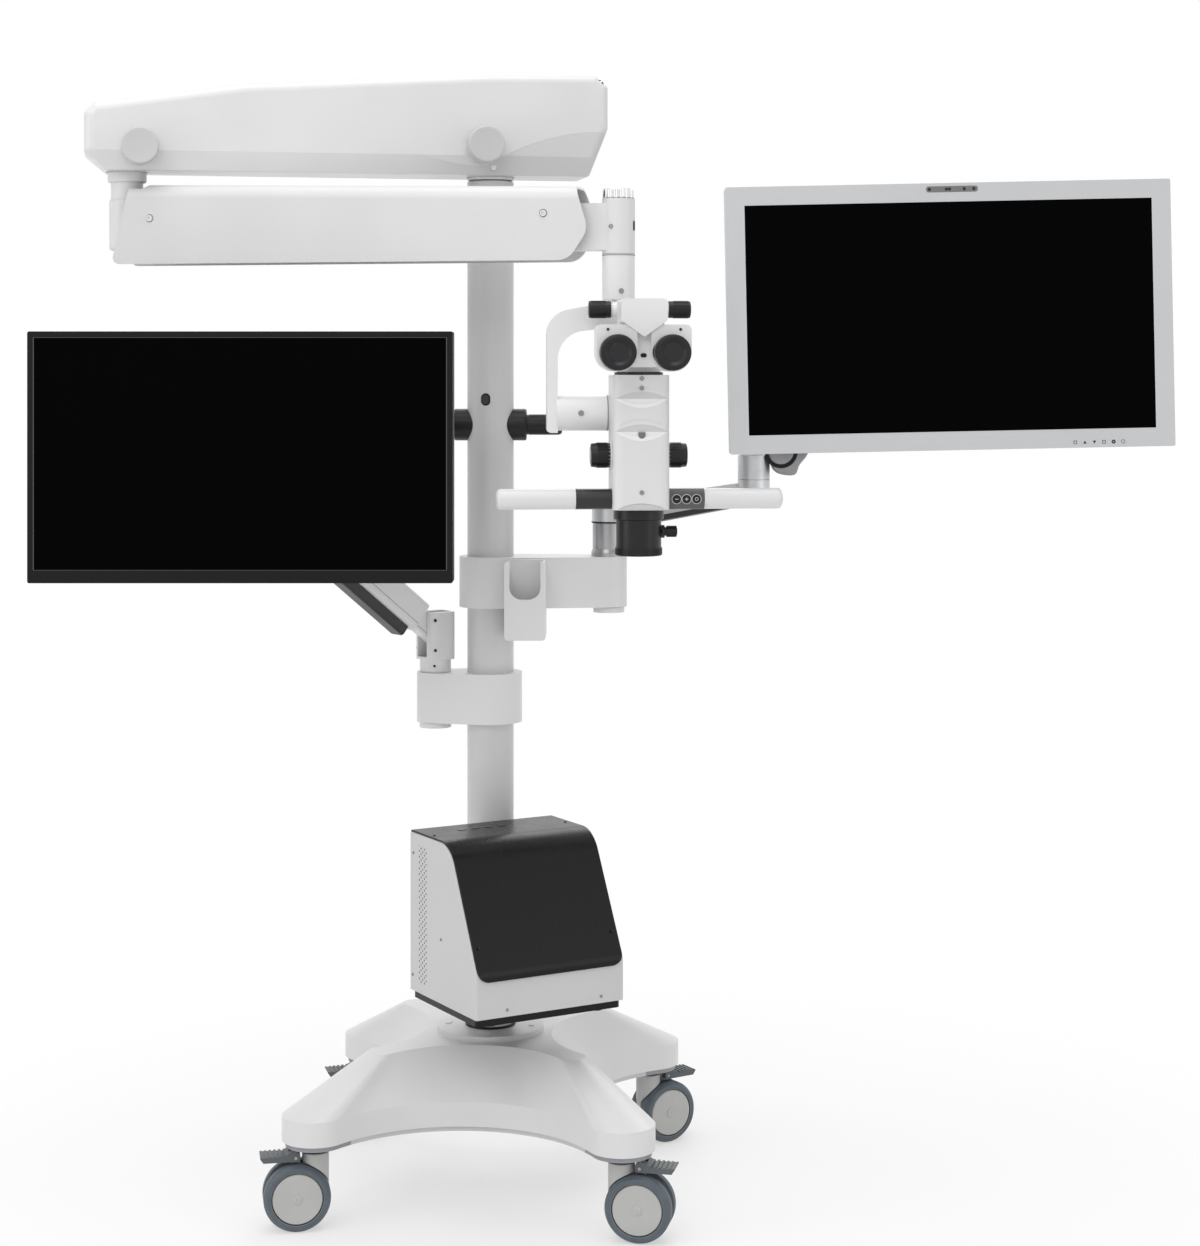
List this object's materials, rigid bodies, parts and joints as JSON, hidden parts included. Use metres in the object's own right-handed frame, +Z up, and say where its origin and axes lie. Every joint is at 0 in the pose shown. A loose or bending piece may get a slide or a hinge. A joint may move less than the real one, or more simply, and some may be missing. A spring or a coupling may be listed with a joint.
{
  "type": "surgical microscope",
  "caption": "Floor-stand surgical microscope: four-caster base, column, folded spring arm with binocular head, docking station and two monitors on swivel arms.",
  "frame": {"origin": "floor point under the middle of the bounding box", "axes": "+Z up, +X to the right of someone at the eyepieces' side, +Y from that side towards the column"},
  "size_m": [1.676, 0.715, 1.743],
  "materials": {
    "cover_white": "satin",
    "paint_white": "white paint, satin",
    "steel_white": "white paint, satin",
    "iron_grey": "painted grey",
    "black_plastic": "matte",
    "dock_black": "fine texture",
    "chrome": "polished",
    "cast_aluminium": "satin",
    "link_grey": "dark anodised",
    "monitor_black": "satin",
    "monitor_silver": "metallic",
    "screen": "anti-glare",
    "caster_grey": "satin",
    "tyre_slate": "satin",
    "pedal_grey": "satin",
    "anodised_black": "black anodised"
  },
  "bodies": {
    "stand": {"base_cover": "cover_white", "base_casting": "iron_grey", "column_tube": "steel_white", "push_handle": "black_plastic", "lower_bracket": "paint_white", "upper_bracket": "paint_white", "accessory_holder": "cover_white", "dock_body": "cover_white", "dock_cover": "dock_black", "dock_plinth": "dock_black", "right_post": "chrome"},
    "caster_back_right_fork_body": {"caster_back_right_fork": "caster_grey"},
    "caster_back_right_wheel_body": {"caster_back_right_wheels": "tyre_slate"},
    "caster_back_right_pedal_body": {"caster_back_right_pedal": "pedal_grey"},
    "caster_back_left_fork_body": {"caster_back_left_fork": "caster_grey"},
    "caster_back_left_wheel_body": {"caster_back_left_wheels": "tyre_slate"},
    "caster_back_left_pedal_body": {"caster_back_left_pedal": "pedal_grey"},
    "caster_front_left_fork_body": {"caster_front_left_fork": "caster_grey"},
    "caster_front_left_wheel_body": {"caster_front_left_wheels": "tyre_slate"},
    "caster_front_left_pedal_body": {"caster_front_left_pedal": "pedal_grey"},
    "caster_front_right_fork_body": {"caster_front_right_fork": "caster_grey"},
    "caster_front_right_wheel_body": {"caster_front_right_wheels": "tyre_slate"},
    "caster_front_right_pedal_body": {"caster_front_right_pedal": "pedal_grey"},
    "extension_arm": {"top_arm_beam": "cast_aluminium", "top_arm_cover": "cover_white"},
    "column_lock_knob_body": {"column_lock_knob": "cover_white"},
    "elbow_lock_knob_body": {"elbow_lock_knob": "cover_white"},
    "elbow": {"elbow_block": "paint_white"},
    "spring_arm": {"upper_link": "link_grey", "spring_arm_cover": "paint_white"},
    "lower_link_body": {"lower_link": "link_grey"},
    "head_carrier": {"head_block": "paint_white"},
    "head_knob_body": {"head_knob": "chrome"},
    "suspension": {"yoke": "paint_white"},
    "microscope": {"microscope_body": "paint_white", "objective_barrel": "anodised_black", "handle": "cover_white", "binocular_base": "paint_white"},
    "zoom_shaft": {"zoom_knobs": "anodised_black"},
    "focus_body": {"focus_knob": "anodised_black"},
    "button_1_body": {"button_1": "black_plastic"},
    "button_2_body": {"button_2": "black_plastic"},
    "button_3_body": {"button_3": "black_plastic"},
    "binocular": {"binocular_body": "paint_white"},
    "pupil_shaft": {"pupil_knobs": "anodised_black"},
    "eyepiece_left_body": {"eyepiece_left": "anodised_black"},
    "eyepiece_right_body": {"eyepiece_right": "anodised_black"},
    "left_post": {"left_swivel": "paint_white"},
    "left_arm": {"left_beam": "paint_white"},
    "left_wrist_body": {"left_wrist": "paint_white"},
    "left_mount_body": {"left_mount": "black_plastic"},
    "left_monitor": {"left_monitor_case": "monitor_black", "left_monitor_panel": "screen"},
    "right_arm": {"right_beam": "cast_aluminium"},
    "right_elbow_body": {"right_elbow": "cast_aluminium"},
    "right_link_body": {"right_link": "cast_aluminium"},
    "right_wrist_body": {"right_wrist": "cast_aluminium"},
    "right_mount_body": {"right_mount": "black_plastic"},
    "right_monitor": {"right_monitor_case": "monitor_silver", "right_monitor_panel": "screen"}
  },
  "joints": [
    {"name": "caster_back_right_swivel", "type": "hinge", "parent": "stand", "child": "caster_back_right_fork_body", "pos_m": [0.07641, 0.2595, 0.132], "axis": [0, 0, 1], "continuous": true},
    {"name": "caster_back_right_roll", "type": "hinge", "parent": "caster_back_right_fork_body", "child": "caster_back_right_wheel_body", "pos_m": [0.10015, 0.27433, 0.05], "axis": [-0.5299, 0.848, 0], "continuous": true},
    {"name": "caster_back_right_brake", "type": "hinge", "parent": "caster_back_right_fork_body", "child": "caster_back_right_pedal_body", "pos_m": [0.10185, 0.27539, 0.1085], "axis": [-0.5299, 0.848, 0], "range_deg": [0, 12]},
    {"name": "caster_back_left_swivel", "type": "hinge", "parent": "stand", "child": "caster_back_left_fork_body", "pos_m": [-0.38069, 0.30754, 0.132], "axis": [0, 0, 1], "continuous": true},
    {"name": "caster_back_left_roll", "type": "hinge", "parent": "caster_back_left_fork_body", "child": "caster_back_left_wheel_body", "pos_m": [-0.40774, 0.30029, 0.05], "axis": [0.2588, -0.9659, 0], "continuous": true},
    {"name": "caster_back_left_brake", "type": "hinge", "parent": "caster_back_left_fork_body", "child": "caster_back_left_pedal_body", "pos_m": [-0.40967, 0.29978, 0.1085], "axis": [0.2588, -0.9659, 0], "range_deg": [0, 12]},
    {"name": "caster_front_left_swivel", "type": "hinge", "parent": "stand", "child": "caster_front_left_fork_body", "pos_m": [-0.42874, -0.14956, 0.132], "axis": [0, 0, 1], "continuous": true},
    {"name": "caster_front_left_roll", "type": "hinge", "parent": "caster_front_left_fork_body", "child": "caster_front_left_wheel_body", "pos_m": [-0.45631, -0.15442, 0.05], "axis": [0.1736, -0.9848, 0], "continuous": true},
    {"name": "caster_front_left_brake", "type": "hinge", "parent": "caster_front_left_fork_body", "child": "caster_front_left_pedal_body", "pos_m": [-0.45828, -0.15477, 0.1085], "axis": [0.1736, -0.9848, 0], "range_deg": [0, 12]},
    {"name": "caster_front_right_swivel", "type": "hinge", "parent": "stand", "child": "caster_front_right_fork_body", "pos_m": [0.02837, -0.1976, 0.132], "axis": [0, 0, 1], "continuous": true},
    {"name": "caster_front_right_roll", "type": "hinge", "parent": "caster_front_right_fork_body", "child": "caster_front_right_wheel_body", "pos_m": [0.05575, -0.20343, 0.05], "axis": [0.2079, 0.9781, 0], "continuous": true},
    {"name": "caster_front_right_brake", "type": "hinge", "parent": "caster_front_right_fork_body", "child": "caster_front_right_pedal_body", "pos_m": [0.05771, -0.20384, 0.1085], "axis": [0.2079, 0.9781, 0], "range_deg": [0, 12]},
    {"name": "extension_arm_swing", "type": "hinge", "parent": "stand", "child": "extension_arm", "pos_m": [-0.17616, 0.05497, 1.578], "axis": [0, 0, 1], "range_deg": [-8, 5]},
    {"name": "column_lock_knob_turn", "type": "hinge", "parent": "extension_arm", "child": "column_lock_knob_body", "pos_m": [-0.18354, -0.00801, 1.628], "axis": [0.1865, -0.9825, 0], "range_deg": [-90, 90]},
    {"name": "elbow_lock_knob_turn", "type": "hinge", "parent": "extension_arm", "child": "elbow_lock_knob_body", "pos_m": [-0.69933, -0.10594, 1.617], "axis": [0.1865, -0.9825, 0], "range_deg": [-90, 90]},
    {"name": "spring_arm_swing", "type": "hinge", "parent": "extension_arm", "child": "elbow", "pos_m": [-0.72918, -0.05003, 1.583], "axis": [0, 0, 1], "range_deg": [-140, 3]},
    {"name": "spring_arm_lift", "type": "hinge", "parent": "elbow", "child": "spring_arm", "pos_m": [-0.67825, -0.06051, 1.51], "axis": [-0.2016, -0.9795, 0], "range_deg": [-22, 3]},
    {"name": "lower_link_lift", "type": "hinge", "parent": "elbow", "child": "lower_link_body", "pos_m": [-0.67825, -0.06051, 1.474], "axis": [-0.2016, -0.9795, 0], "range_deg": [-22, 3]},
    {"name": "head_level", "type": "hinge", "parent": "spring_arm", "child": "head_carrier", "pos_m": [-0.07901, -0.18384, 1.51], "axis": [-0.2016, -0.9795, 0], "range_deg": [-3, 22]},
    {"name": "head_knob_turn", "type": "hinge", "parent": "head_carrier", "child": "head_knob_body", "pos_m": [0.02383, -0.20501, 1.532], "axis": [0, 0, 1], "range_deg": [-90, 90]},
    {"name": "head_swing", "type": "hinge", "parent": "head_carrier", "child": "suspension", "pos_m": [0.02383, -0.20501, 1.451], "axis": [0, 0, 1], "range_deg": [-60, 18]},
    {"name": "microscope_tilt", "type": "hinge", "parent": "suspension", "child": "microscope", "pos_m": [0.02383, -0.20501, 1.217], "axis": [0.9969, 0.0785, 0], "range_deg": [-5, 32]},
    {"name": "zoom_turn", "type": "hinge", "parent": "microscope", "child": "zoom_shaft", "pos_m": [0.0529, -0.23783, 1.156], "axis": [0.9969, 0.0785, 0], "continuous": true},
    {"name": "focus_turn", "type": "hinge", "parent": "microscope", "child": "focus_body", "pos_m": [0.0529, -0.23783, 1.0445], "axis": [0.9969, 0.0785, 0], "range_deg": [-150, 150]},
    {"name": "button_1_press", "type": "slide", "parent": "microscope", "child": "button_1_body", "axis": [-0.0785, 0.9969, 0], "range_m": [0, 0.001], "stiffness_N_per_m": 300},
    {"name": "button_2_press", "type": "slide", "parent": "microscope", "child": "button_2_body", "axis": [-0.0785, 0.9969, 0], "range_m": [0, 0.001], "stiffness_N_per_m": 300},
    {"name": "button_3_press", "type": "slide", "parent": "microscope", "child": "button_3_body", "axis": [-0.0785, 0.9969, 0], "range_m": [0, 0.001], "stiffness_N_per_m": 300},
    {"name": "binocular_tilt", "type": "hinge", "parent": "microscope", "child": "binocular", "pos_m": [0.05392, -0.25079, 1.368], "axis": [-0.9969, -0.0785, 0], "range_deg": [0, 30]},
    {"name": "pupil_knobs_turn", "type": "hinge", "parent": "binocular", "child": "pupil_shaft", "pos_m": [0.05392, -0.25079, 1.368], "axis": [0.9969, 0.0785, 0], "range_deg": [0, 180]},
    {"name": "eyepiece_left_slide", "type": "slide", "parent": "binocular", "child": "eyepiece_left_body", "axis": [0.9969, 0.0785, 0], "range_m": [0, 0.01]},
    {"name": "eyepiece_right_slide", "type": "slide", "parent": "binocular", "child": "eyepiece_right_body", "axis": [-0.9969, -0.0785, 0], "range_m": [0, 0.01]},
    {"name": "left_arm_swing", "type": "hinge", "parent": "stand", "child": "left_post", "pos_m": [-0.26296, 0.05497, 0.805], "axis": [0, 0, 1], "range_deg": [-100, 6]},
    {"name": "left_arm_lift", "type": "hinge", "parent": "left_post", "child": "left_arm", "pos_m": [-0.26296, 0.05497, 0.863], "axis": [-0.6115, 0.7912, 0], "range_deg": [-38, 12]},
    {"name": "left_wrist_level", "type": "hinge", "parent": "left_arm", "child": "left_wrist_body", "pos_m": [-0.52799, -0.14987, 1.13039], "axis": [-0.6115, 0.7912, 0], "range_deg": [-12, 38]},
    {"name": "left_monitor_swivel", "type": "hinge", "parent": "left_wrist_body", "child": "left_mount_body", "pos_m": [-0.52799, -0.14987, 1.15289], "axis": [0, 0, 1], "range_deg": [-30, 25]},
    {"name": "left_monitor_tilt", "type": "hinge", "parent": "left_mount_body", "child": "left_monitor", "pos_m": [-0.52799, -0.18187, 1.17089], "axis": [1, 0, 0], "range_deg": [-10, 10]},
    {"name": "right_arm_swing", "type": "hinge", "parent": "stand", "child": "right_arm", "pos_m": [0.01034, 0.05497, 1.039], "axis": [0, 0, 1], "range_deg": [-3, 60]},
    {"name": "right_elbow_swing", "type": "hinge", "parent": "right_arm", "child": "right_elbow_body", "pos_m": [0.22785, -0.12498, 1.1155], "axis": [0, 0, 1], "range_deg": [-4, 60]},
    {"name": "right_arm_lift", "type": "hinge", "parent": "right_elbow_body", "child": "right_link_body", "pos_m": [0.22785, -0.12498, 1.172], "axis": [-0.0332, -0.9995, 0], "range_deg": [-9, 12]},
    {"name": "right_wrist_level", "type": "hinge", "parent": "right_link_body", "child": "right_wrist_body", "pos_m": [0.50869, -0.13429, 1.31765], "axis": [-0.0332, -0.9995, 0], "range_deg": [-12, 9]},
    {"name": "right_monitor_swivel", "type": "hinge", "parent": "right_wrist_body", "child": "right_mount_body", "pos_m": [0.50869, -0.13429, 1.34015], "axis": [0, 0, 1], "range_deg": [-6, 30]},
    {"name": "right_monitor_tilt", "type": "hinge", "parent": "right_mount_body", "child": "right_monitor", "pos_m": [0.50869, -0.16629, 1.35815], "axis": [1, 0, 0], "range_deg": [-10, 10]}
  ],
  "couplings": [
    {"joint": "lower_link_lift", "follows": "spring_arm_lift", "ratio": 1},
    {"joint": "head_level", "follows": "spring_arm_lift", "ratio": -1},
    {"joint": "pupil_knobs_turn", "follows": "eyepiece_left_slide", "rad_per_m": 314.16},
    {"joint": "eyepiece_right_slide", "follows": "eyepiece_left_slide", "ratio": 1},
    {"joint": "left_wrist_level", "follows": "left_arm_lift", "ratio": -1},
    {"joint": "right_wrist_level", "follows": "right_arm_lift", "ratio": -1}
  ]
}
